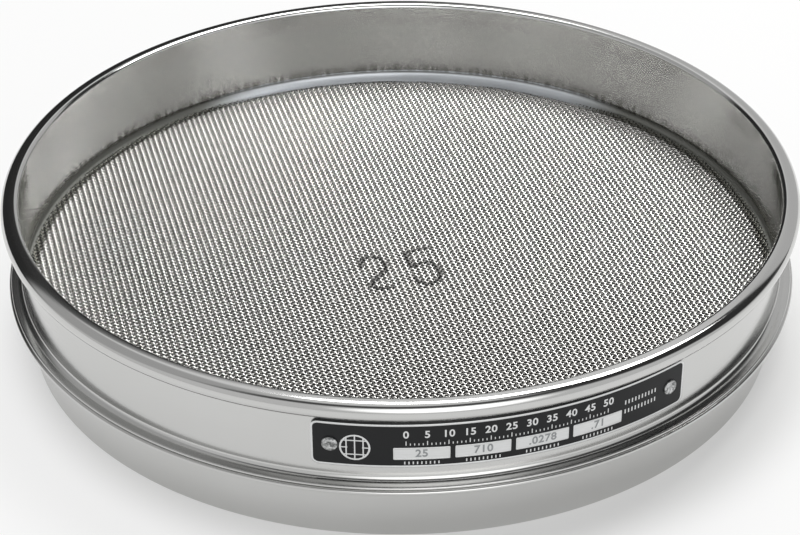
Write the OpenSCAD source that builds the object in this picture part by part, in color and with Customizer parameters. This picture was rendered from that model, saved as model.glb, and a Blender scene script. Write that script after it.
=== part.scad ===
// Half-height laboratory test sieve, 8 inch nominal.
// Two spun stainless rings hold a dished disc of woven wire cloth between
// their flanges; a solder ring seals the cloth, and a curved nameplate is
// riveted to the upper ring. Origin: centre of the bottom edge, +Z up,
// nameplate centred on -Y. Millimetres.

/* [Rings] */
// Inside diameter of the upper ring, where the next sieve nests
ring_id = 203.2; // [198:0.1:208]
// Thickness of the sheet that both rings are spun from
sheet_t = 0.8; // [0.6:0.05:1]
// Height from the bottom edge to the top of the rim
overall_h = 41.4; // [36:0.1:54]
// Height of the seam where the two rings meet
seam_h = 16.85; // [14:0.05:20]

/* [Rim bead] */
// Diameter of the rolled bead
bead_d = 5; // [4:0.1:6]
// How far the bead stands out past the wall
bead_out = 4; // [3.4:0.1:4.6]
// Radius that turns the inner wall over into the rim
lip_r = 1.2; // [0.8:0.1:2]
// Height of the rim down to where the wall starts to flare
neck_drop = 6.5; // [6:0.1:10]

/* [Flanges] */
// Radius of the upper ring's foot, measured on its outer face
foot_r = 1.6; // [1.4:0.1:3]
// How far the upper ring's flange runs past its foot radius
flange_lip = 1.3; // [0.8:0.05:1.8]
// How far the skirt's hem stands out past the upper ring's flange
hem_out = 0.6; // [0.3:0.05:1]
// Thickness of the skirt's folded hem
hem_d = 1.2; // [1.1:0.05:1.6]

/* [Skirt] */
// Clearance on diameter of the skirt in a ring of the same size
nest_clearance = 0.6; // [0.4:0.05:1.2]
// Radius of the bend from the skirt's wall to its flange, on its outer face
bend_out_r = 3.3; // [3:0.1:3.6]
// Broken corners of the skirt's bottom edge
edge_break = 0.2; // [0.1:0.05:0.3]

/* [Wire cloth] */
// Thickness of the cloth, two wires
cloth_t = 0.9; // [0.6:0.05:1.1]
// Spacing of the strands that stand for the weave
strand_pitch = 16.4; // [16.4:0.1:24]
// Width of a strand as a share of the spacing, as in the real cloth
strand_share = 0.39; // [0.3:0.01:0.45]
// Turn of the weave from the nameplate's axis, in degrees
weave_turn = 45; // [0:1:90]

/* [Solder ring] */
// Width of solder seen on the cloth, inward of the wall
solder_w = 2.7; // [1.6:0.1:3.4]
// Plain border of the cloth left inside the solder
border_show = 0.1; // [0.05:0.05:0.5]

/* [Nameplate] */
// Length of the plate along its curve
plate_l = 96; // [80:1:110]
// Wall left bare between the plate and the flare above it
plate_above = 0.7; // [0.3:0.05:1.5]
// Wall left bare between the plate and the foot below it
plate_below = 2.55; // [1:0.05:3]
// Thickness of the plate
plate_t = 0.7; // [0.5:0.05:0.9]
// Corner radius of the plate
plate_corner = 1.8; // [0.8:0.1:2.5]
// Width of the raised edge of the plate
plate_edge = 0.5; // [0.3:0.05:0.8]
// Height of the raised edge and windows above the enamel
relief = 0.1; // [0.06:0.01:0.2]
// Number of windows for plain figures
windows = 4; // [2:1:5]
// Length of a window
window_l = 13.4; // [10:0.1:14]
// Height of a window
window_h = 3.5; // [2.5:0.1:4]
// Spacing of the windows
window_pitch = 14.55; // [14.4:0.05:15.5]
// Drop of the windows' centre below the plate's centre
window_drop = 2.2; // [1:0.1:3]

/* [Rivets] */
// Diameter of a rivet's head
rivet_head_d = 3.9; // [3:0.1:4.4]
// Diameter of a rivet's shank
rivet_shank_d = 2.4; // [1.6:0.1:2.6]
// Height of a rivet's head
rivet_head_h = 0.45; // [0.3:0.05:0.7]
// Distance of a rivet's centre from the plate's end
rivet_inset = 4.6; // [4:0.1:6]

/* [Hidden] */
$fn = 180;
steel = [0.76, 0.77, 0.77];
pale_steel = [0.84, 0.85, 0.85];
cloth_grey = [0.68, 0.68, 0.67];
solder_grey = [0.62, 0.64, 0.66];
enamel = [0.15, 0.155, 0.16];

step = 5;                          // degrees between the points of an arc
wall_in = ring_id / 2;
wall_out = wall_in + sheet_t;
plate_r = wall_out + plate_t;      // outer face of the nameplate
enamel_r = plate_r - relief;

// Rim bead and the flare under it, which touch at neck_turn on the bead.
bead_r = bead_d / 2;
bead_c = [wall_out + bead_out - bead_r, overall_h - bead_r];
neck_z = overall_h - neck_drop;
neck_side = bead_c.x - wall_out;
neck_rise = bead_c.y - neck_z;
neck_r = (neck_side ^ 2 + neck_rise ^ 2 - bead_r ^ 2) / (2 * (bead_r + neck_side));
neck_c = [wall_out + neck_r, neck_z];
neck_turn = atan2(neck_c.y - bead_c.y, neck_c.x - bead_c.x);

// Foot of the upper ring and its flange, which sits on the seam.
foot_c = [wall_out + foot_r, seam_h + sheet_t + foot_r];
foot_in_r = foot_r + sheet_t;
flange_end = foot_c.x + flange_lip + sheet_t / 2;

// Skirt: straight wall, bend and hemmed flange under the seam.
skirt_out = wall_in - nest_clearance / 2;
skirt_in = skirt_out - sheet_t;
skirt_straight = seam_h - sheet_t - bend_out_r;
bend_in_r = bend_out_r + sheet_t;
bend_c = [skirt_out + bend_out_r, skirt_straight];
hem_end = flange_end + hem_out;
hem_c = [hem_end - hem_d / 2, seam_h - hem_d / 2];

// Cloth: flat inside, its border laid up the skirt's bend.
lay_from = 140;                    // angle on the bend where the flat cloth meets it
lay_to = 120;                      // angle on the bend where the cloth's edge ends
cloth_z = bend_c.y + bend_in_r * sin(lay_from);
solder_toe = [wall_in - solder_w, cloth_z + cloth_t];
border_r = solder_toe.x - border_show;
web_t = cloth_t / 2;
ridge_h = cloth_t / 4;
strand_w = strand_pitch * strand_share;
dash_l = 1.3 * strand_pitch;
gap_w = strand_pitch - strand_w;
weave_r = border_r - 0.3;
weave_n = ceil(weave_r / strand_pitch);

// The nameplate fills the straight wall between the foot and the flare.
plate_top = neck_z - plate_above;
plate_bottom = foot_c.y + plate_below;
plate_h = plate_top - plate_bottom;
plate_z = (plate_top + plate_bottom) / 2;
rivet_turn = (plate_l / 2 - rivet_inset) / plate_r * 180 / PI;

// Points along an arc about c, from angle a0 to angle a1.
function arc(c, r, a0, a1) =
    let (n = max(1, round(abs(a1 - a0) / step)))
    [for (i = [0 : n]) c + r * [cos(a0 + (a1 - a0) * i / n), sin(a0 + (a1 - a0) * i / n)]];

function foot_in(a0, a1) = arc(foot_c, foot_in_r, a0, a1);
function bend_in(a0, a1) = arc(bend_c, bend_in_r, a0, a1);

// Section of the upper ring: inner wall, lip, bead, flare, wall, foot, flange.
module frame_section() {
    difference() {
        polygon(concat(
            foot_in(270, 180),
            arc([wall_in + lip_r, overall_h - lip_r], lip_r, 180, 90),
            arc(bead_c, bead_r, 90, neck_turn),
            arc(neck_c, neck_r, neck_turn + 180, 180),
            arc(foot_c, foot_r, 180, 270),
            arc([flange_end - sheet_t / 2, seam_h + sheet_t / 2], sheet_t / 2, 90, -90)));
        translate(bead_c) circle(r = bead_r - sheet_t, $fn = 48);
    }
}

// Section of the skirt: bottom edge, straight wall, bend, flange, hem.
module skirt_section() {
    polygon(concat(
        [[skirt_in, edge_break], [skirt_in + edge_break, 0],
         [skirt_out - edge_break, 0], [skirt_out, edge_break]],
        arc(bend_c, bend_out_r, 180, 90),
        arc(hem_c, hem_d / 2, 270, 450),
        bend_in(90, 180)));
}

// Section of the cloth's border, laid on the bend.
module border_section() {
    polygon(concat(
        [[border_r, cloth_z]],
        bend_in(lay_from, lay_to),
        arc(bend_c, bend_in_r + cloth_t, lay_to, lay_from - step),
        [solder_toe, [border_r, cloth_z + cloth_t]]));
}

// Section of the solder: on the cloth, round its edge, up the foot of the
// upper ring, and back down in a hollow curve.
module solder_section() {
    crest_turn = 200;
    crest = foot_c + foot_in_r * [cos(crest_turn), sin(crest_turn)];
    polygon(concat(
        [solder_toe],
        arc(bend_c, bend_in_r + cloth_t, lay_from - step, lay_to),
        bend_in(lay_to, 100),
        foot_in(255, crest_turn),
        [for (a = [80 : -10 : 10])
            [solder_toe.x + (crest.x - solder_toe.x) * sin(a),
             crest.y - (crest.y - solder_toe.y) * cos(a)]]));
}

// A rectangle with round corners, centred, in the plate's flat pattern.
module round_rect(l, h, r) {
    x = l / 2 - r;
    y = h / 2 - r;
    polygon(concat(
        arc([x, y], r, 0, 90), arc([-x, y], r, 90, 180),
        arc([-x, -y], r, 180, 270), arc([x, -y], r, 270, 360)));
}

// Width across the curve of a length laid round the plate's face.
function chord(l) = 2 * plate_r * sin(l / plate_r * 90 / PI);

// A sheet between two radii, cut by an outline seen from -Y.
module wrapped(r0, r1) {
    intersection() {
        translate([0, 0, plate_z - plate_h])
            difference() {
                cylinder(r = r1, h = 2 * plate_h);
                translate([0, 0, -1]) cylinder(r = r0, h = 2 * plate_h + 2);
            }
        translate([0, 0, plate_z]) rotate([90, 0, 0])
            linear_extrude(height = 2 * plate_r) children();
    }
}

// Places a thing whose axis is +Z so that it points outward at a turn round
// the ring, at the plate's middle height.
module on_plate(turn) {
    translate([0, 0, plate_z]) rotate([0, 0, turn]) rotate([90, 0, 0]) children();
}

module rivet_holes() {
    for (side = [-1, 1])
        on_plate(side * rivet_turn)
            translate([0, 0, wall_in - sheet_t])
                cylinder(d = rivet_shank_d, h = plate_r - wall_in + 2 * sheet_t, $fn = 48);
}

// One strand end that shows between two crossings, along X or Y.
module dash(along_x) {
    square(along_x ? [dash_l, strand_w] : [strand_w, dash_l], center = true);
}

// The strands that lie on top where i + j has the given parity.
module strands(parity) {
    for (i = [-weave_n : weave_n], j = [-weave_n : weave_n]) {
        reach = norm([abs(i), abs(j)]) * strand_pitch + dash_l / 2;
        if (reach < weave_r)
            translate([i, j] * strand_pitch) dash((i + j + parity) % 2 == 0);
    }
}

// The open gaps between the strands, a plain grid cut off at the border.
module gaps() {
    intersection() {
        circle(r = weave_r);
        for (i = [-weave_n : weave_n], j = [-weave_n : weave_n]) {
            cell = [i + 0.5, j + 0.5] * strand_pitch;
            if (norm(cell) < weave_r - gap_w / 5)
                translate(cell) square(gap_w, center = true);
        }
    }
}

module frame_ring() {
    color(steel) difference() {
        rotate_extrude() frame_section();
        rivet_holes();
    }
}

module skirt_ring() {
    color(steel) rotate_extrude() skirt_section();
}

module wire_cloth() {
    color(cloth_grey) {
        rotate_extrude() border_section();
        translate([0, 0, cloth_z]) rotate([0, 0, weave_turn]) {
            translate([0, 0, ridge_h]) linear_extrude(height = web_t)
                difference() {
                    circle(r = border_r + 0.2);
                    gaps();
                }
            linear_extrude(height = ridge_h) strands(1);
            translate([0, 0, ridge_h + web_t]) linear_extrude(height = ridge_h) strands(0);
        }
    }
}

module solder_ring() {
    color(solder_grey) rotate_extrude() solder_section();
}

module nameplate() {
    edge_l = chord(plate_l - 2 * plate_edge);
    edge_h = plate_h - 2 * plate_edge;
    color(enamel) difference() {
        union() {
            wrapped(wall_out, enamel_r) round_rect(chord(plate_l), plate_h, plate_corner);
            wrapped(wall_out, plate_r) {
                difference() {
                    round_rect(chord(plate_l), plate_h, plate_corner);
                    round_rect(edge_l, edge_h, plate_corner - plate_edge / 2);
                }
                for (i = [0 : windows - 1]) {
                    mid = (i - (windows - 1) / 2) * window_pitch;
                    x0 = chord(2 * mid - window_l) / 2;
                    x1 = chord(2 * mid + window_l) / 2;
                    translate([x0, -window_drop - window_h / 2]) square([x1 - x0, window_h]);
                }
            }
        }
        rivet_holes();
    }
}

// Low head with a chamfered edge and a shallow set mark, on a shank that
// ends flush with the inner wall.
module rivet() {
    head = rivet_head_d / 2;
    face = enamel_r + rivet_head_h;
    cut = rivet_head_h * 0.4;
    mark = head * 0.3;
    rotate_extrude($fn = 48) polygon([
        [0, wall_in], [rivet_shank_d / 2, wall_in], [rivet_shank_d / 2, enamel_r],
        [head, enamel_r], [head, face - cut], [head - cut, face],
        [mark, face], [mark / 2, face - cut], [0, face - cut]]);
}

module rivet_left() {
    color(pale_steel) on_plate(-rivet_turn) rivet();
}

module rivet_right() {
    color(pale_steel) on_plate(rivet_turn) rivet();
}

frame_ring();
skirt_ring();
wire_cloth();
solder_ring();
nameplate();
rivet_left();
rivet_right();
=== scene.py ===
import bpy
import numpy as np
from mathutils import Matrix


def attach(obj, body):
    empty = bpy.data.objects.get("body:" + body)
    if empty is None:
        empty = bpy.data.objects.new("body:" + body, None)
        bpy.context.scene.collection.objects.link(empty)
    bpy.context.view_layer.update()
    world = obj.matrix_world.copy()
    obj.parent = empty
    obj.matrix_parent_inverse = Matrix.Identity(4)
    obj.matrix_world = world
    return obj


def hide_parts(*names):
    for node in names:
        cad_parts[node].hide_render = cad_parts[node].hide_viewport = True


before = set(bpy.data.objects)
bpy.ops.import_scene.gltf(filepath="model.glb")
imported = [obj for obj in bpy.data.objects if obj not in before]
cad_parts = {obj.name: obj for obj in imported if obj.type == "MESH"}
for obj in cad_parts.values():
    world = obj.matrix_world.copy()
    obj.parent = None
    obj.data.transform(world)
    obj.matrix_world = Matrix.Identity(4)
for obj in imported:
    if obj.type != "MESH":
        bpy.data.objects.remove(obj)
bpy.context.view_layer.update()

# Half-height laboratory test sieve: two spun stainless rings, a disc of woven
# wire cloth soldered between them, and an enamelled nameplate on two rivets.
# Lengths are millimetres until a mesh is made; sections are (radius, height).

MM = 0.001

# Sizes that the source names.
WALL_IN, SHEET = 101.6, 0.8
WALL_OUT = WALL_IN + SHEET
RIM_TOP, SEAM = 41.4, 16.85
BEAD, BEAD_R = (103.9, 38.9), 2.5
LIP_R = 1.2
NECK, NECK_R = (103.9, 34.9), 1.5
FOOT, FOOT_R = (104.0, 19.25), 1.6
FLANGE_END = 105.7
SKIRT_OUT = 101.3
BEND, BEND_R = (104.6, 12.75), 3.3
HEM, HEM_R = (105.7, 16.25), 0.6
CLOTH_MID, CLOTH_TOP = 15.835, 16.285
TOE = (98.9, CLOTH_TOP)
PLATE_R, ENAMEL_R = 103.1, 103.0
PLATE_L, PLATE_H, PLATE_Z = 96.0, 12.4, 28.0
PLATE_CORNER = 1.8
RIVET_INSET = 4.6
RIVET_AT = PLATE_L / 2 - RIVET_INSET

# The real cloth: No. 25, plain weave. A wire drawn with four sides is 7% past its radius at its corners,
# so that it looks as thick as the round one.
WIRE_D, WIRE_PITCH = 0.45, 1.16
FOUR_SIDED = 1.07
CLOTH_EDGE = 101.3
WEAVE_TURN = 45.0

# What the plate shows: a row of four windows, a rule over them and a ring at its left end.
WINDOW_L, WINDOW_H, WINDOW_CORNER, WINDOW_PITCH = 13.4, 3.5, 0.3, 14.55
WINDOW_Z = PLATE_Z - 2.2
RULE_LEFT, RULE_LENGTH = -25.5, 50
RING_X, RING_Z, RING_SIZE = -37.5, PLATE_Z - 0.7, 7.4
# Raised marks start just under the enamel's face, so that no gap shows.
SUNK = ENAMEL_R - 0.05
# Along the plate a shape has a station every 1.5 mm, so that it follows the curve.
STATION = 1.5

# The camera stands this many degrees to the left of the plate's middle.
CAMERA_TURN = 14.7


def srgb(code):
    """Linear colour of an sRGB hex code: each part over 12.92 where dark, else ((part + 0.055) / 1.055)
    to the power 2.4."""
    part = np.array([int(code[i:i + 2], 16) / 255 for i in (1, 3, 5)])
    part = np.where(part <= 0.04045, part / 12.92, ((part + 0.055) / 1.055) ** 2.4)
    return (*part.tolist(), 1.0)


def around(angle, elevation, distance):
    """A place round the sieve in metres: the angle is counted from the camera's side towards the right,
    and the elevation from the floor."""
    angle, elevation = np.radians(angle - CAMERA_TURN), np.radians(elevation)
    return (distance * np.sin(angle) * np.cos(elevation), -distance * np.cos(angle) * np.cos(elevation),
            distance * np.sin(elevation))


def stand(thing, x_way, y_way, z_way, place):
    """Puts an object in the scene with its own x, y and z along three directions, at a place in metres."""
    rows = np.column_stack([x_way, y_way, z_way, place]).tolist()
    thing.matrix_world = Matrix([*rows, [0, 0, 0, 1]])
    bpy.context.scene.collection.objects.link(thing)


# ---------------------------------------------------------------- shapes

def arc(centre, radius, start, stop, count):
    """Points on a circle: the centre plus the radius times the cosine and sine of evenly spaced angles in
    degrees."""
    turn = np.radians(np.linspace(start, stop, count))
    return np.column_stack([centre[0] + radius * np.cos(turn), centre[1] + radius * np.sin(turn)])


def outward(section):
    """The closed section, turned round if its signed area is negative, so that it runs counter-clockwise."""
    x, y = section.T
    area = np.sum(x * np.roll(y, -1) - np.roll(x, -1) * y)
    return section if area > 0 else section[::-1]


def grid_quads(rows, columns, round_rows=False, round_columns=False):
    """Quads between neighbours of a grid of rows by columns points, joined up where it goes round."""
    i = np.arange(rows if round_rows else rows - 1)[:, None]
    j = np.arange(columns if round_columns else columns - 1)[None, :]
    up, along = (i + 1) % rows, (j + 1) % columns
    corners = [i * columns + j, i * columns + along, up * columns + along, up * columns + j]
    return np.stack(np.broadcast_arrays(*corners), -1).reshape(-1, 4)


def mount(name, mesh, material):
    """Puts a finished mesh in the scene as a piece of one material that rides on the root."""
    mesh.materials.clear()
    mesh.materials.append(material)
    piece = bpy.data.objects.new(name, mesh)
    bpy.context.scene.collection.objects.link(piece)
    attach(piece, "root")
    return piece


def make_piece(name, points, quads, material, slot, sharp=35.0, hides=(), marks=None):
    """A piece from an array of points in millimetres and an array of quads, smooth except past the sharp
    angle."""
    mesh = bpy.data.meshes.new(name)
    mesh.vertices.add(len(points))
    mesh.vertices.foreach_set("co", np.ascontiguousarray(points * MM, np.float32).ravel())
    mesh.loops.add(quads.size)
    mesh.loops.foreach_set("vertex_index", np.ascontiguousarray(quads, np.int32).ravel())
    mesh.polygons.add(len(quads))
    mesh.polygons.foreach_set("loop_start", np.arange(0, quads.size, quads.shape[1], dtype=np.int32))
    for layer, values in (marks or {}).items():
        mesh.attributes.new(layer, "FLOAT", "POINT").data.foreach_set("value", values.astype(np.float32))
    mesh.update(calc_edges=True)
    mesh.shade_smooth()
    mesh.set_sharp_from_angle(angle=np.radians(sharp))
    piece = mount(name, mesh, material)
    if hides:
        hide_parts(*hides)


def lathe(section, turns):
    """A section spun round the axis: x is the radius times the cosine of the turn, y the radius times its
    sine, and z the height."""
    section = outward(section)
    turn = np.linspace(0, 2 * np.pi, turns, endpoint=False)
    radius, height = section[:, :1], section[:, 1:]
    points = np.stack([radius * np.cos(turn), radius * np.sin(turn), height + 0 * turn], -1)
    return points.reshape(-1, 3), grid_quads(len(section), turns, True, True)


def upper_ring():
    """Section of the upper ring, spun: foot, inner wall, lip, rolled bead, flare, outer wall, foot and
    the flange's edge."""
    neck_turn = np.degrees(np.arctan2(NECK[1] - BEAD[1], NECK[0] - BEAD[0]))
    section = np.vstack([
        arc(FOOT, FOOT_R + SHEET, 270, 180, 12),
        [[WALL_IN, z] for z in (24.0, 30.0, 36.0)],
        arc((WALL_IN + LIP_R, RIM_TOP - LIP_R), LIP_R, 180, 90, 11),
        arc(BEAD, BEAD_R, 90, neck_turn, 26)[:-1],
        arc(NECK, NECK_R, neck_turn + 180, 180, 15),
        [[WALL_OUT, z] for z in (30.0, 27.0, 24.0)],
        arc(FOOT, FOOT_R, 180, 270, 12),
        arc((FLANGE_END - SHEET / 2, SEAM + SHEET / 2), SHEET / 2, 90, -90, 9)])
    return lathe(section, 288)


def lower_ring():
    """Section of the skirt, spun: broken bottom edge, straight wall, bend, flange and folded hem."""
    skirt_in, edge = SKIRT_OUT - SHEET, 0.2
    section = np.vstack([
        [[skirt_in, edge], [skirt_in + edge, 0], [SKIRT_OUT - edge, 0], [SKIRT_OUT, edge]],
        [[SKIRT_OUT, z] for z in (4.0, 8.0)],
        arc(BEND, BEND_R, 180, 90, 14),
        arc(HEM, HEM_R, 270, 450, 11),
        arc(BEND, BEND_R + SHEET, 90, 180, 14),
        [[skirt_in, z] for z in (8.0, 4.0)]])
    return lathe(section, 288)


def wander(turn, seeds):
    """A slow wander round the ring: a sum of cosines of whole multiples of the turn, so that it closes."""
    return sum(size * np.cos(times * turn + shift) for times, size, shift in seeds)


def solder_cover(turn):
    """How thickly the solder lies: 1 over a seventh of the ring at the back, falling smoothly to 0 over
    14 degrees at each end, and 0 round the rest, where the wires show through it."""
    middle, half, fade = np.radians([73, 40, 14])
    away = np.abs(np.angle(np.exp(1j * (turn - middle))))
    share = np.clip((half - away) / fade, 0, 1)
    return share ** 2 * (3 - 2 * share)


def solder_fillet():
    """Solder between cloth and wall: a hollow quarter ellipse from toe to crest, whose toe and crest
    wander round the ring, closed behind along the foot and the cloth's edge. Where it lies thin the crest
    slides down the foot and the face sinks between the wires."""
    turns, face_rows = 720, 14
    turn = np.linspace(0, 2 * np.pi, turns, endpoint=False)
    thin = 1 - solder_cover(turn)
    # Angles round the foot's centre: the crest lies at one, and the solder leaves the foot at the other.
    crest_at, leave_at = np.radians(200 + 32 * thin), np.radians(255)
    inside = FOOT_R + SHEET
    crest = np.stack([FOOT[0] + inside * np.cos(crest_at), FOOT[1] + inside * np.sin(crest_at)])
    reach = np.radians(np.linspace(4, 90, face_rows))
    face = np.stack([TOE[0] + (crest[0] - TOE[0]) * np.sin(reach)[:, None],
                     crest[1] - (crest[1] - TOE[1] - 0.05) * np.cos(reach)[:, None]], -1)
    down = crest_at + (leave_at - crest_at) * np.linspace(0.08, 1, 6)[:, None]
    foot = np.stack([FOOT[0] + inside * np.cos(down), FOOT[1] + inside * np.sin(down)], -1)
    behind = np.vstack([arc(BEND, BEND_R + SHEET, 100, 120, 4),
                        [[CLOTH_EDGE, CLOTH_TOP - 0.3], [TOE[0] + 0.3, CLOTH_TOP - 0.8]]])
    section = np.concatenate([face, foot, np.repeat(behind[:, None], turns, axis=1)])
    # How far each row follows the toe's wander, the crest's wander and the sinking of thin solder.
    rest = len(section) - face_rows
    pull = np.concatenate([np.linspace(1, 0, face_rows) ** 1.5, np.zeros(rest - 1), [1]])
    lift = np.concatenate([np.zeros(face_rows - 5), [0.15, 0.4, 0.7, 0.9, 0], np.zeros(rest)])
    sink = np.concatenate([np.linspace(0.8, 0.7, 8), np.linspace(0.7, 0.1, 5), np.zeros(rest + 1)])
    toe = wander(turn, [(3, .16, .4), (7, .12, 1.9), (16, .1, 3.1), (31, .09, .7), (57, .08, 5.0),
                        (94, .06, 2.2)])
    top = wander(turn, [(2, .1, 1.1), (5, .08, 4.0), (13, .06, .3), (27, .05, 2.6)])
    radius = section[..., 0] + pull[:, None] * toe
    height = section[..., 1] + lift[:, None] * top - sink[:, None] * thin
    points = np.stack([radius * np.cos(turn), radius * np.sin(turn), height], -1)
    return points.reshape(-1, 3), grid_quads(len(section), turns, True, True)[:, ::-1]


def wires(turned, low, high):
    """Wires low to high of one set of the cloth. A wire's centre steps half a wire up and down at its
    crossings, with a station a quarter pitch to each side of each, and four points stand round every
    station, square to the wire."""
    radius, rise = WIRE_D / 2 * FOUR_SIDED, WIRE_D / 2
    wire = np.arange(low, high)[:, None]
    offset = wire * WIRE_PITCH
    half = np.sqrt(np.maximum(CLOTH_EDGE ** 2 - offset ** 2, 0))
    most = int(CLOTH_EDGE / WIRE_PITCH) + 2
    station = np.arange(-2 * most, 2 * most)[None, :]
    along = (station + 0.5) * WIRE_PITCH / 2
    kept = np.abs(along) < half + WIRE_PITCH / 2
    crossing = (station + 1) // 2
    side = np.where((crossing + wire) % 2 == 0, 1.0, -1.0) * (-1 if turned else 1)
    lean = side * np.where(station % 2 == 0, -1, 1) * np.arctan(4 * rise / WIRE_PITCH) / 2
    along = np.clip(along, -half, half)
    centre = np.stack([along, offset + 0 * along, CLOTH_MID + side * rise], -1)[kept]
    up = np.stack([-np.sin(lean), 0 * lean, np.cos(lean)], -1)[kept]
    across = np.array([0.0, 1.0, 0.0])
    ring = [centre + radius * up, centre - radius * across, centre - radius * up, centre + radius * across]
    points = np.stack(ring, 1).reshape(-1, 3)
    turn = np.radians(WEAVE_TURN + (90 if turned else 0))
    spin = np.array([[np.cos(turn), np.sin(turn), 0], [-np.sin(turn), np.cos(turn), 0], [0, 0, 1]])
    index = np.cumsum(kept).reshape(kept.shape) - 1
    joined = kept[:, :-1] & kept[:, 1:]
    here, there = 4 * index[:, :-1][joined], 4 * index[:, 1:][joined]
    q = np.arange(4)
    sides = np.stack([here[:, None] + q, here[:, None] + (q + 1) % 4,
                      there[:, None] + (q + 1) % 4, there[:, None] + q], -1).reshape(-1, 4)
    first = 4 * index[np.arange(len(wire)), kept.argmax(1)]
    last = 4 * index[np.arange(len(wire)), kept.shape[1] - 1 - kept[:, ::-1].argmax(1)]
    ends = np.vstack([first[:, None] + q[::-1], last[:, None] + q])
    return points @ spin, np.vstack([sides, ends])


def distance_to(points, line):
    """Distance of each point, seen from above, to the nearest part of a line of points: what is left of
    the point's offset after its share along each length is cut to 0..1 and taken off."""
    line = np.array(line)
    start, run = line[:-1], line[1:] - line[:-1]
    offset = points[:, None, :2] - start
    share = np.clip((offset * run).sum(-1) / (run ** 2).sum(-1), 0, 1)
    return np.linalg.norm(offset - share[..., None] * run, axis=-1).min(1)


# Plain figures marked on the cloth, as lines of points seen from above, and the field they lie in.
FIGURES = [
    [(-12.4, -4.6), (-11.5, -1.2), (-9.3, -0.2), (-6.8, -1.4), (-5.6, -4.4), (-6.1, -7.4), (-8.0, -9.4),
     (-10.6, -11.8), (-12.2, -14.9), (-9.9, -16.6), (-6.3, -16.5)],
    [(7.7, -0.1), (4.3, -0.2), (1.0, -0.9), (0.8, -4.6), (1.0, -8.3), (3.9, -7.0), (6.4, -7.1), (7.5, -10.1),
     (7.6, -13.7), (5.9, -16.8), (3.2, -17.6), (0.8, -15.9), (0.4, -13.3)]]
FIELD_MIDDLE, FIELD_HALF = (-2, -9), (14, 12)


def figure_mark(points):
    """How strongly a point is marked: 1 within 0.45 mm of a figure's line, falling to nothing at 0.8, and
    less on the crests of the wires."""
    mark = np.zeros(len(points))
    near = (np.abs(points[:, :2] - FIELD_MIDDLE) < FIELD_HALF).all(1)
    reach = np.min([distance_to(points[near], line) for line in FIGURES], axis=0)
    mark[near] = np.clip((0.8 - reach) / 0.35, 0, 1) * np.clip((CLOTH_TOP - points[near, 2]) / 0.3, 0.75, 1)
    return mark


def solder_run(points):
    """How far solder has run over a point of the cloth: nothing 98.3 mm out, rising to 1 at 99.3."""
    return np.clip(np.hypot(points[:, 0], points[:, 1]) - 98.3, 0, 1)


def wrap(along, height, radius):
    """A flat pattern laid round the ring: the turn is the length along over the plate's radius, measured
    from -Y."""
    turn = np.asarray(along) / PLATE_R
    return np.stack(np.broadcast_arrays(radius * np.sin(turn), -radius * np.cos(turn), height), -1)


def panel(middle, length, height, corner, inner, outer):
    """A thin curved panel with round corners: a grid whose height shrinks near its ends as the corner
    circle does, one sheet at the outer radius and one at the inner, joined round the rim."""
    rows, straight = 7, length / 2 - corner
    ends = straight + corner * np.linspace(0, 1, 7)
    run = np.linspace(-straight, straight, max(3, int(length / STATION)))[1:-1]
    along = np.concatenate([-ends[::-1], run, ends])
    over = np.clip(np.abs(along) - straight, 0, corner)
    tall = height / 2 - corner + np.sqrt(corner ** 2 - over ** 2)
    share = np.linspace(-1, 1, rows)[:, None]
    columns = len(along)
    front = wrap(middle[0] + along + 0 * share, middle[1] + share * tall, outer).reshape(-1, 3)
    rear = wrap(middle[0] + along + 0 * share, middle[1] + share * tall, inner).reshape(-1, 3)
    quads = grid_quads(rows, columns)
    loop = np.concatenate([np.arange(columns), np.arange(1, rows) * columns + columns - 1,
                           (rows - 1) * columns + np.arange(columns - 2, -1, -1),
                           np.arange(rows - 2, 0, -1) * columns])
    after, count = np.roll(loop, -1), rows * columns
    rim = np.column_stack([loop, loop + count, after + count, after])
    return np.vstack([front, rear]), np.vstack([quads, quads[:, ::-1] + count, rim])


def moulding(middle, length, height, corner, width, inner, outer):
    """A raised edge: a low round-topped profile of the given width, carried along a rectangle with round
    corners."""
    steps = 7
    x, y = length / 2 - corner, height / 2 - corner
    bend = np.radians(np.linspace(0, 90, steps))
    turns = np.concatenate([bend + quarter * np.pi / 2 for quarter in range(4)])
    centre = np.repeat([[x, y], [-x, y], [-x, -y], [x, -y]], steps, axis=0)
    way = np.column_stack([np.cos(turns), np.sin(turns)])
    path = centre + corner * way
    # The long sides, after the first corner and after the third, get stations of their own.
    share = np.linspace(0, 1, max(2, int(length / STATION)))[1:-1, None]
    one, three = steps, 3 * steps
    top = path[one - 1] + (path[one] - path[one - 1]) * share
    low = path[three - 1] + (path[three] - path[three - 1]) * share
    path = np.vstack([path[:one], top, path[one:three], low, path[three:]])
    up = np.repeat([[0, 1]], len(share), 0)
    way = np.vstack([way[:one], up, way[one:three], -up, way[three:]])
    across = np.array([0.0, 0.0, -0.12, -0.5, -0.88, -1.0, -1.0])[:, None] * width
    level = np.array([0.0, 0.6, 0.9, 1.0, 0.9, 0.6, 0.0])[:, None] * (outer - inner) + inner
    points = wrap(middle[0] + path[:, 0] + across * way[:, 0],
                  middle[1] + path[:, 1] + across * way[:, 1], level)
    return points.reshape(-1, 3), grid_quads(len(across), len(path), True, True)[:, ::-1]


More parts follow.
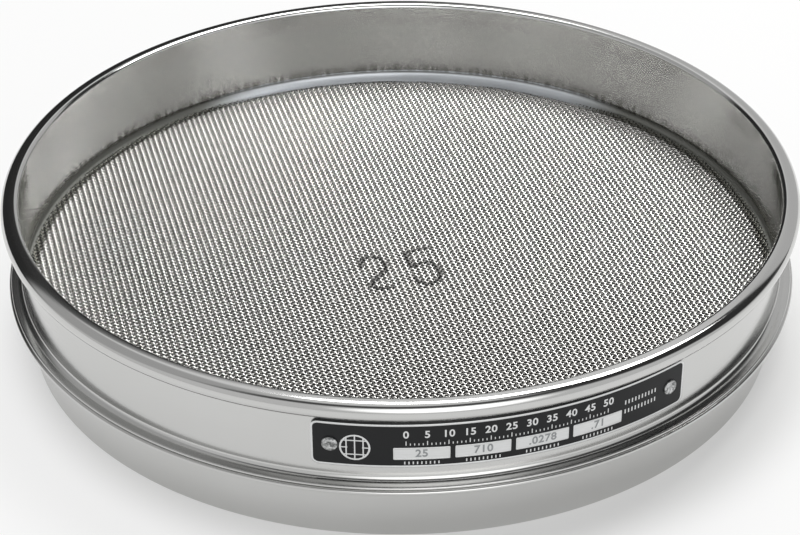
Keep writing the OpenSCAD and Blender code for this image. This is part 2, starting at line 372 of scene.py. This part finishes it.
def bars(centres, size, outer):
    """Small upright bars on the plate, from just under its enamel to the outer radius: eight corners
    each, at half the size to each side of the centre. The size is one for all bars, or one for each."""
    corner = np.array([[-1, -1], [1, -1], [1, 1], [-1, 1]]) / 2
    sizes = np.broadcast_to(size, (len(centres), 2))
    flat = np.asarray(centres)[:, None, :] + corner * sizes[:, None, :]
    low, high = (wrap(flat[..., 0], flat[..., 1], radius) for radius in (SUNK, outer))
    points = np.concatenate([low, high], 1)
    box = np.array([[4, 5, 6, 7], [3, 2, 1, 0], [0, 1, 5, 4], [1, 2, 6, 5], [2, 3, 7, 6], [3, 0, 4, 7]])
    return points.reshape(-1, 3), (box + 8 * np.arange(len(centres))[:, None, None]).reshape(-1, 4)


def join(*parts):
    """Several sets of points and quads as one, each set's quads moved on by the points before it."""
    starts = np.cumsum([0] + [len(points) for points, _ in parts])
    points = np.vstack([points for points, _ in parts])
    return points, np.vstack([quads + start for (_, quads), start in zip(parts, starts)])


def rivet_shape(side):
    """A rivet spun about a line through the plate: a low head with a rounded rim and a set mark, and a
    shank that ends flush inside; the section's height becomes distance from the ring's axis."""
    shank, head, rim, pole = 1.2, 1.95, 0.25, 0.0001
    tail, face = WALL_IN - 0.03, ENAMEL_R + 0.45
    section = np.vstack([
        [[pole, tail], [shank, tail], [shank, ENAMEL_R], [head, ENAMEL_R]],
        arc((head - rim, face - rim), rim, 0, 80, 5),
        [[1.1, face], [0.62, face - 0.01], [0.5, face - 0.12], [0.3, face - 0.16], [pole, face - 0.17]]])
    points, quads = lathe(section, 48)
    turn = side * RIVET_AT / PLATE_R
    x, y, out = points.T
    return np.column_stack([x * np.cos(turn) + out * np.sin(turn), x * np.sin(turn) - out * np.cos(turn),
                            PLATE_Z + y]), quads


def figures(name, text, middle, height, material, radius):
    """Plain figures as a flat mesh laid round the plate: the length along turns about the axis, the
    height stays."""
    curve = bpy.data.curves.new(name, "FONT")
    curve.body, curve.align_x, curve.align_y = text, "CENTER", "CENTER"
    # A digit is as high as 1/1.4 of the type's size, and the offset makes its strokes bolder.
    curve.size, curve.space_character, curve.offset = height * 1.4, 1.08, height * 0.032
    holder = bpy.data.objects.new(name, curve)
    bpy.context.scene.collection.objects.link(holder)
    bpy.context.view_layer.update()
    mesh = bpy.data.meshes.new_from_object(holder.evaluated_get(bpy.context.evaluated_depsgraph_get()))
    bpy.data.objects.remove(holder)
    flat = np.zeros(3 * len(mesh.vertices), np.float32)
    mesh.vertices.foreach_get("co", flat)
    flat = flat.reshape(-1, 3)
    laid = wrap(middle[0] + flat[:, 0], middle[1] + flat[:, 1], radius) * MM
    mesh.vertices.foreach_set("co", laid.astype(np.float32).ravel())
    mesh.update()
    mount(name, mesh, material)


# ------------------------------------------------------------- materials

def add(finish, kind, inputs=None, **settings):
    """Adds a node with its settings, and sets each input to a value or links it to another node's output.
    Inputs go by name or by number: on a Map Range, the value, the range it comes from and the range it
    goes to are 0 to 4; on a Mix, the factor is 0, two values are 2 and 3, and two colours are 6 and 7."""
    made = finish.node_tree.nodes.new(kind)
    for key, value in settings.items():
        setattr(made, key, value)
    for key, value in (inputs or {}).items():
        if isinstance(value, bpy.types.NodeSocket):
            finish.node_tree.links.new(value, made.inputs[key])
        else:
            made.inputs[key].default_value = value
    return made


def new_finish(name):
    """An empty node material, and its Object coordinates in metres."""
    finish = bpy.data.materials.new(name)
    finish.use_nodes = True
    finish.node_tree.nodes.clear()
    return finish, add(finish, "ShaderNodeTexCoord").outputs["Object"]


def close(finish, shader):
    """Links a shader to the material's surface."""
    add(finish, "ShaderNodeOutputMaterial", {"Surface": shader.outputs[0]})
    return finish


def round_lines(finish, place, fine, coarse):
    """Noise in lines round the axis, with the height and the radius that it is made from: fine steps per
    metre along height and radius, coarse steps per metre round."""
    part = add(finish, "ShaderNodeSeparateXYZ", {0: place}).outputs
    flat = add(finish, "ShaderNodeCombineXYZ", {0: part[0], 1: part[1]}).outputs[0]
    radius = add(finish, "ShaderNodeVectorMath", {0: flat}, operation="LENGTH").outputs["Value"]
    spread = add(finish, "ShaderNodeVectorMath", {0: place, 1: (coarse, coarse, fine)},
                 operation="MULTIPLY").outputs[0]
    depth = add(finish, "ShaderNodeMath", {0: radius, 1: fine}, operation="MULTIPLY").outputs[0]
    lines = add(finish, "ShaderNodeTexNoise", {"Vector": spread, "W": depth, "Scale": 1.0, "Detail": 3.0,
                                               "Roughness": 0.6}, noise_dimensions="4D").outputs[0]
    return lines, part[2], radius


def spun_stainless():
    """304 stainless sheet, spun on a lathe and left with a fine satin: fine lines run round it, the
    rolled rim is burnished brighter than the walls, and the metal is a neutral grey."""
    finish, place = new_finish("spun_satin_stainless")
    # Lines 0.35 mm apart on the walls and some 25 mm long: finer ones don't show.
    lines, height, radius = round_lines(finish, place, 2800.0, 40.0)
    cloudy = add(finish, "ShaderNodeTexNoise", {"Vector": place, "Scale": 22.0, "Detail": 4.0}).outputs[0]
    burnished = add(finish, "ShaderNodeMapRange", {0: height, 1: 0.034, 2: 0.0365, 3: 0.0, 4: 1.0}).outputs[0]
    satin = add(finish, "ShaderNodeMapRange", {0: lines, 1: 0.3, 2: 0.7, 3: 0.15, 4: 0.21}).outputs[0]
    rough = add(finish, "ShaderNodeMix", {0: burnished, 2: satin, 3: 0.10}).outputs[0]
    tone = add(finish, "ShaderNodeMix", {0: cloudy, 6: srgb("#C6C6C4"), 7: srgb("#CFCFCE")},
               data_type="RGBA").outputs[2]
    # Heat and flux tint the inner wall for 3 mm over the soldered joint, in upright streaks 1.5 mm apart.
    upright = add(finish, "ShaderNodeVectorMath", {0: place, 1: (650.0, 650.0, 60.0)},
                  operation="MULTIPLY").outputs[0]
    streak = add(finish, "ShaderNodeTexNoise", {"Vector": upright, "Scale": 1.0, "Detail": 1.0}).outputs[0]
    tint = add(finish, "ShaderNodeMapRange", {0: streak, 1: 0.42, 2: 0.62, 3: 0.0, 4: 0.6}).outputs[0]
    below = add(finish, "ShaderNodeMapRange", {0: height, 1: 0.0218, 2: 0.0188, 3: 0.0, 4: 1.0}).outputs[0]
    above = add(finish, "ShaderNodeMapRange", {0: height, 1: 0.0172, 2: 0.0182, 3: 0.0, 4: 1.0}).outputs[0]
    inside = add(finish, "ShaderNodeMath", {0: radius, 1: 0.1020}, operation="LESS_THAN").outputs[0]
    for bound in (below, above, inside):
        tint = add(finish, "ShaderNodeMath", {0: tint, 1: bound}, operation="MULTIPLY").outputs[0]
    tone = add(finish, "ShaderNodeMix", {0: tint, 6: tone, 7: srgb("#6B675E")}, data_type="RGBA").outputs[2]
    bump = add(finish, "ShaderNodeBump", {"Height": lines, "Strength": 0.12, "Distance": 0.00002}).outputs[0]
    return close(finish, add(finish, "ShaderNodeBsdfPrincipled", {
        "Base Color": tone, "Metallic": 1.0, "Roughness": rough, "Normal": bump}))


def drawn_wire():
    """Drawn stainless wire, woven and annealed: bright on its crests, stained grey where figures are
    marked and where solder has run over it."""
    finish, place = new_finish("woven_stainless_wire")
    # Mottle 3 mm across.
    mottle = add(finish, "ShaderNodeTexNoise", {"Vector": place, "Scale": 330.0, "Detail": 2.0}).outputs[0]
    tone = add(finish, "ShaderNodeMix", {0: mottle, 6: srgb("#DEDDDA"), 7: srgb("#E9E8E5")},
               data_type="RGBA").outputs[2]
    mark = add(finish, "ShaderNodeAttribute", attribute_name="mark").outputs["Fac"]
    tone = add(finish, "ShaderNodeMix", {0: mark, 6: tone, 7: srgb("#3A3937")}, data_type="RGBA").outputs[2]
    run = add(finish, "ShaderNodeAttribute", attribute_name="run").outputs["Fac"]
    tone = add(finish, "ShaderNodeMix", {0: run, 6: tone, 7: srgb("#6E6D66")}, data_type="RGBA").outputs[2]
    rough = add(finish, "ShaderNodeMapRange", {0: mark, 3: 0.20, 4: 0.5}).outputs[0]
    return close(finish, add(finish, "ShaderNodeBsdfPrincipled", {
        "Base Color": tone, "Metallic": 1.0, "Roughness": rough}))


def soft_solder():
    """Tin solder, wiped round by hand: a cool, softly pebbled pale grey where it lies thick, dark with flux
    where it is thin, and darker along its crest with brown flux and painted shade in the crease at the wall."""
    finish, place = new_finish("wiped_tin_solder")
    height = add(finish, "ShaderNodeSeparateXYZ", {0: place}).outputs[2]
    # Pebbles a millimetre across, in patches of some 17 mm.
    pebble = add(finish, "ShaderNodeTexNoise", {"Vector": place, "Scale": 900.0, "Detail": 3.0}).outputs[0]
    patchy = add(finish, "ShaderNodeTexNoise", {"Vector": place, "Scale": 60.0, "Detail": 3.0}).outputs[0]
    cover = add(finish, "ShaderNodeAttribute", attribute_name="cover").outputs["Fac"]
    pale = add(finish, "ShaderNodeMix", {0: patchy, 6: srgb("#C3C7CC"), 7: srgb("#E2E6EA")},
               data_type="RGBA").outputs[2]
    tone = add(finish, "ShaderNodeMix", {0: cover, 6: srgb("#80817C"), 7: pale}, data_type="RGBA").outputs[2]
    # Painted shade with brown flux: the solder's top edge, in the crease against the wall, is darkened.
    crest = add(finish, "ShaderNodeMapRange", {0: height, 1: 0.0177, 2: 0.0184, 3: 0.0, 4: 0.8}).outputs[0]
    tone = add(finish, "ShaderNodeMix", {0: crest, 6: tone, 7: srgb("#4A453C")}, data_type="RGBA").outputs[2]
    bump = add(finish, "ShaderNodeBump", {"Height": pebble, "Strength": 0.5, "Distance": 0.0002}).outputs[0]
    return close(finish, add(finish, "ShaderNodeBsdfPrincipled", {
        "Base Color": tone, "Metallic": 0.85, "Roughness": 0.5, "Normal": bump}))


def black_enamel():
    """Baked black enamel on aluminium: a dark neutral ground with a soft sheen and an orange peel of 0.7
    mm."""
    finish, place = new_finish("baked_black_enamel")
    peel = add(finish, "ShaderNodeTexNoise", {"Vector": place, "Scale": 1400.0, "Detail": 2.0}).outputs[0]
    tone = add(finish, "ShaderNodeMix", {0: peel, 6: srgb("#0C0D0F"), 7: srgb("#121315")},
               data_type="RGBA").outputs[2]
    bump = add(finish, "ShaderNodeBump", {"Height": peel, "Strength": 0.1, "Distance": 0.00005}).outputs[0]
    return close(finish, add(finish, "ShaderNodeBsdfPrincipled", {
        "Base Color": tone, "Roughness": 0.42, "IOR": 1.36, "Normal": bump}))


def bare_aluminium():
    """Etched bare aluminium: pale, slightly grained along its length, brighter than the steel."""
    finish, place = new_finish("etched_bare_aluminium")
    # Grain 0.25 mm high, drawn that coarse so that it shows.
    spread = add(finish, "ShaderNodeVectorMath", {0: place, 1: (300.0, 300.0, 4000.0)},
                 operation="MULTIPLY").outputs[0]
    grain = add(finish, "ShaderNodeTexNoise", {"Vector": spread, "Scale": 1.0, "Detail": 2.0}).outputs[0]
    tone = add(finish, "ShaderNodeMix", {0: grain, 6: srgb("#D2D3D3"), 7: srgb("#E4E5E5")},
               data_type="RGBA").outputs[2]
    rough = add(finish, "ShaderNodeMapRange", {0: grain, 3: 0.32, 4: 0.48}).outputs[0]
    return close(finish, add(finish, "ShaderNodeBsdfPrincipled", {
        "Base Color": tone, "Metallic": 1.0, "Roughness": rough}))


def stamped_ink():
    """Worn dark ink in stamped figures: matt grey that breaks up over 0.4 mm."""
    finish, place = new_finish("worn_stamping_ink")
    worn = add(finish, "ShaderNodeTexNoise", {"Vector": place, "Scale": 2500.0, "Detail": 2.0}).outputs[0]
    tone = add(finish, "ShaderNodeMix", {0: worn, 6: srgb("#7A7D7F"), 7: srgb("#A6A9AA")},
               data_type="RGBA").outputs[2]
    return close(finish, add(finish, "ShaderNodeBsdfPrincipled", {"Base Color": tone, "Roughness": 0.6}))


def rivet_aluminium():
    """Aluminium drive rivet, cold headed: hammered in dents of 0.7 mm, painted dull grey in their hollows
    as shade and pale on their high spots.
    """
    finish, place = new_finish("cold_headed_aluminium")
    hammer = add(finish, "ShaderNodeTexNoise", {"Vector": place, "Scale": 1500.0, "Detail": 3.0}).outputs[0]
    # Painted shade: the hollows of the hammered surface, low on the same noise as the bump, are coloured dull
    # grey.
    painted_dent_shade = add(finish, "ShaderNodeMapRange", {0: hammer, 1: 0.38, 2: 0.62}).outputs[0]
    tone = add(finish, "ShaderNodeMix", {0: painted_dent_shade, 6: srgb("#6F7070"), 7: srgb("#D2D3D3")},
               data_type="RGBA").outputs[2]
    bump = add(finish, "ShaderNodeBump", {"Height": hammer, "Strength": 0.5, "Distance": 0.0002}).outputs[0]
    return close(finish, add(finish, "ShaderNodeBsdfPrincipled", {
        "Base Color": tone, "Metallic": 1.0, "Roughness": 0.4, "Normal": bump}))


def studio_floor():
    """Matt pale board: it shows pale to the camera and in metal, keeps its real shadow round the skirt with
    painted shadow added there, and is painted dark under the cloth as shade."""
    finish, place = new_finish("pale_studio_board")
    fleck = add(finish, "ShaderNodeTexNoise", {"Vector": place, "Scale": 3.0}).outputs[0]
    tone = add(finish, "ShaderNodeMix", {0: fleck, 6: srgb("#E6E6E5"), 7: srgb("#E9E9E8")},
               data_type="RGBA").outputs[2]
    # The painted shade, a dark floor colour and no glow, ends under the skirt's wall, where its edge doesn't
    # show.
    away = add(finish, "ShaderNodeVectorMath", {0: place}, operation="LENGTH").outputs["Value"]
    # Painted shade: inside this radius the floor's colour is dark and its glow is off, standing in for the
    # shade under the cloth.
    under = add(finish, "ShaderNodeMath", {0: away, 1: 0.1008}, operation="LESS_THAN").outputs[0]
    outside_painted_shade = add(finish, "ShaderNodeMath", {0: 1.0, 1: under}, operation="SUBTRACT").outputs[0]
    tone = add(finish, "ShaderNodeMix", {0: under, 6: tone, 7: srgb("#202020")}, data_type="RGBA").outputs[2]
    # Painted shadow: the floor's glow is turned down round the skirt and comes back over 20 mm, centred 8 mm
    # further to the right.
    slid = add(finish, "ShaderNodeVectorMath", {0: place, 1: around(75, 0, 0.008)},
               operation="SUBTRACT").outputs[0]
    away = add(finish, "ShaderNodeVectorMath", {0: slid}, operation="LENGTH").outputs["Value"]
    glow_past_painted_shadow = add(finish, "ShaderNodeMapRange", {0: away, 1: 0.1005, 2: 0.120, 3: 0.28, 4: 0.74},
                     interpolation_type="SMOOTHSTEP").outputs[0]
    rays = add(finish, "ShaderNodeLightPath").outputs
    seen = add(finish, "ShaderNodeMath", {0: rays["Is Camera Ray"], 1: rays["Is Glossy Ray"]},
               operation="MAXIMUM").outputs[0]
    seen = add(finish, "ShaderNodeMath", {0: seen, 1: rays["Is Transmission Ray"]},
               operation="MAXIMUM").outputs[0]
    for bound in (outside_painted_shade, glow_past_painted_shadow):
        seen = add(finish, "ShaderNodeMath", {0: seen, 1: bound}, operation="MULTIPLY").outputs[0]
    matt = add(finish, "ShaderNodeBsdfDiffuse", {"Color": tone}).outputs[0]
    glow = add(finish, "ShaderNodeEmission", {"Color": srgb("#FFFFFF"), "Strength": 1.0}).outputs[0]
    return close(finish, add(finish, "ShaderNodeMixShader", {0: seen, 1: matt, 2: glow}))


# ---------------------------------------------------------------- camera

def place_camera():
    """Camera from its distance, height, heading, pitch and roll; its axes are right, up and backward."""
    aside, height = 507.23, 338.36
    focal, picture_width = 2188.15, 800
    turn = np.radians(CAMERA_TURN)
    heading, pitch, roll = turn - 0.00044, 0.57323, -0.00677
    ahead = np.array([np.sin(heading) * np.cos(pitch), np.cos(heading) * np.cos(pitch), -np.sin(pitch)])
    right = np.array([np.cos(heading), -np.sin(heading), 0.0])
    up = np.cross(right, ahead)
    right, up = np.cos(roll) * right + np.sin(roll) * up, np.cos(roll) * up - np.sin(roll) * right
    data = bpy.data.cameras.new("camera")
    data.sensor_fit, data.sensor_width = "HORIZONTAL", 36.0
    data.lens = focal / picture_width * data.sensor_width
    data.clip_start, data.clip_end = 0.01, 50.0
    camera = bpy.data.objects.new("camera", data)
    place = np.array([-aside * np.sin(turn), -aside * np.cos(turn), height]) * MM
    stand(camera, right, up, -ahead, place)
    bpy.context.scene.camera = camera


place_camera()

# ---------------------------------------------------------------- pieces

steel, wire, solder = spun_stainless(), drawn_wire(), soft_solder()
enamel, aluminium, ink, rivet_metal = black_enamel(), bare_aluminium(), stamped_ink(), rivet_aluminium()

make_piece("upper_ring", *upper_ring(), steel, "spun_steel", hides=["frame_ring"])
make_piece("lower_ring", *lower_ring(), steel, "spun_steel", hides=["skirt_ring"])
points, quads = solder_fillet()
make_piece("solder_fillet", points, quads, solder, "solder", hides=["solder_ring"],
           marks={"cover": solder_cover(np.arctan2(points[:, 1], points[:, 0]))})

# The cloth's wires in three bands, the middle one 47 wires wide, so that they have much the same triangles.
last_wire, side_band = int(CLOTH_EDGE / WIRE_PITCH), 24
bands = [(-last_wire, 1 - side_band), (1 - side_band, side_band), (side_band, last_wire + 1)]
for count, (low, high) in enumerate(bands):
    for turned, name in ((False, "warp"), (True, "weft")):
        points, quads = wires(turned, low, high)
        make_piece(f"{name}_wires_{count + 1}", points, quads, wire, "woven_wire", sharp=100.0,
                   hides=["wire_cloth"], marks={"mark": figure_mark(points), "run": solder_run(points)})

middle = (0.0, PLATE_Z)
make_piece("plate_ground", *panel(middle, PLATE_L, PLATE_H, PLATE_CORNER, WALL_OUT, ENAMEL_R), enamel,
           "plate_enamel", hides=["nameplate"])
raised = [moulding(middle, PLATE_L, PLATE_H, PLATE_CORNER, 0.55, SUNK, PLATE_R)]
window_at = [(count - 1.5) * WINDOW_PITCH for count in range(4)]
for along in window_at:
    window = ((along, WINDOW_Z), WINDOW_L, WINDOW_H, WINDOW_CORNER)
    raised.append(panel(*window, SUNK, ENAMEL_R + 0.04))
    raised.append(moulding(*window, 0.4, SUNK, PLATE_R))

# A plain rule where a plate has its heading: a bar every millimetre, longer at five.
rule = np.arange(RULE_LENGTH + 1)
at = np.column_stack([rule + RULE_LEFT, np.where(rule % 5 == 0, PLATE_Z + 0.8, PLATE_Z + 0.5)])
size = np.column_stack([np.full(len(rule), 0.22), np.where(rule % 5 == 0, 1.2, 0.6)])
raised.append(bars(at, size, ENAMEL_R + 0.03))
# A short row of bars under each window.
at = [(along + step, PLATE_Z - 4.9) for along in window_at for step in range(-4, 5)]
raised.append(bars(at, (0.3, 0.8), ENAMEL_R + 0.03))
# Two rows of bars beside the right rivet.
at = [(along, PLATE_Z + level) for level in (1.3, -1.3) for along in 29.5 + np.arange(10)]
raised.append(bars(at, (0.35, 1.2), ENAMEL_R + 0.03))
# A plain ring beside the left rivet, crossed by three lines each way, as long as the ring leaves them.
raised.append(moulding((RING_X, RING_Z), RING_SIZE, RING_SIZE, RING_SIZE / 2 - 0.01, 0.45,
                       SUNK, ENAMEL_R + 0.05))
for step in (-2.0, 0.0, 2.0):
    long = 2 * np.sqrt(3.4 ** 2 - step ** 2)
    at = [(RING_X + step, RING_Z), (RING_X, RING_Z + step)]
    raised.append(bars(at, [(0.3, long), (long, 0.3)], ENAMEL_R + 0.04))
make_piece("plate_raised", *join(*raised), aluminium, "plate_enamel", sharp=50.0)

for count, number in enumerate(range(0, RULE_LENGTH + 1, 5)):
    figures(f"rule_figure_{count}", str(number), (number + RULE_LEFT, PLATE_Z + 3.2), 2.0, aluminium,
            ENAMEL_R + 0.03)
for along, text in zip(window_at, ("25", "710", ".0278", ".71")):
    figures(f"window_figure_{text.strip('.')}", text, (along, WINDOW_Z), 2.1, ink, PLATE_R - 0.03)

for side, name in ((-1, "rivet_left"), (1, "rivet_right")):
    make_piece(name + "_head", *rivet_shape(side), rivet_metal, "rivet_metal", hides=[name])


# ----------------------------------------------------------------- stage

def square(name, half, material):
    """A flat square on the ground, facing up, so that the sieve stands on it: half its side each way."""
    mesh = bpy.data.meshes.new(name)
    corners = [(-half, -half, 0), (half, -half, 0), (half, half, 0), (-half, half, 0)]
    mesh.from_pydata(corners, [], [(0, 1, 2, 3)])
    mesh.materials.append(material)
    board = bpy.data.objects.new(name, mesh)
    bpy.context.scene.collection.objects.link(board)


def patch(world, direction, angle, elevation, inner, outer):
    """A round patch of the studio: 1 within the inner angle of its middle, falling smoothly to 0 at the
    outer one."""
    near = add(world, "ShaderNodeVectorMath", {0: direction, 1: around(angle, elevation, 1.0)},
               operation="DOT_PRODUCT").outputs["Value"]
    full, none = np.cos(np.radians(inner)), np.cos(np.radians(outer))
    return add(world, "ShaderNodeMapRange", {0: near, 1: none, 2: full, 3: 0.0, 4: 1.0},
               interpolation_type="SMOOTHSTEP").outputs[0]


# The studio's round patches, each laid over those before it: its level, the angle and elevation of its
# middle, and the angles from there at which it begins and ends to fade.
PATCHES = [
    (2.20, 12, 32, 8, 30),        # bright front, round the camera
    (0.08, 180, 50.5, 66, 79),    # dark gap round the ceiling
    (0.85, 180, 50.5, 40, 56),    # pale ceiling, over and behind the sieve
    (0.48, -108, 42, 24, 38),     # grey curtain at the left
    (0.04, 115, 45, 27, 35),      # dark opening at the right
    (0.04, 108, 26, 14, 20),      # its lower end
    (0.60, 150, 14, 24, 29),      # grey board low behind, to the right
    (0.03, -152, 4, 33, 40)]      # dark doorway low behind, to the left


def studio_light():
    """A soft room of one grey with round patches of their own level."""
    world = bpy.data.worlds.new("studio")
    world.use_nodes = True
    world.node_tree.nodes.clear()
    direction = add(world, "ShaderNodeTexCoord").outputs["Generated"]
    level = 0.70
    for strength, angle, elevation, inner, outer in PATCHES:
        mask = patch(world, direction, angle, elevation, inner, outer)
        level = add(world, "ShaderNodeMix", {0: mask, 2: level, 3: strength}).outputs[0]
    room = add(world, "ShaderNodeBackground", {"Color": srgb("#FFFFFF"), "Strength": level})
    pale = add(world, "ShaderNodeBackground", {"Color": srgb("#F6F6F6"), "Strength": 1.0})
    seen = add(world, "ShaderNodeLightPath").outputs["Is Camera Ray"]
    mixed = add(world, "ShaderNodeMixShader", {0: seen, 1: room.outputs[0], 2: pale.outputs[0]})
    add(world, "ShaderNodeOutputWorld", {"Surface": mixed.outputs[0]})
    bpy.context.scene.world = world


def soft_box():
    """The bright panel: an oblong lamp behind and above, a little to the right, 0.8 m from the front of
    the rim and square on to the line that joins them."""
    lamp = bpy.data.lights.new("soft_box", "AREA")
    lamp.shape, lamp.size, lamp.size_y, lamp.energy = "RECTANGLE", 0.56, 0.30, 4.4
    box = bpy.data.objects.new("soft_box", lamp)
    front_rim = np.array(around(0, 0, 0.104)) + np.array([0, 0, 0.039])
    out, up = np.array(around(157, 57, 1.0)), np.array(around(157 - 180, 90 - 57, 1.0))
    stand(box, np.cross(up, out), up, out, front_rim + out * 0.8)


square("studio_floor", 4.0, studio_floor())
studio_light()
soft_box()
bpy.context.scene.view_settings.view_transform = "Standard"
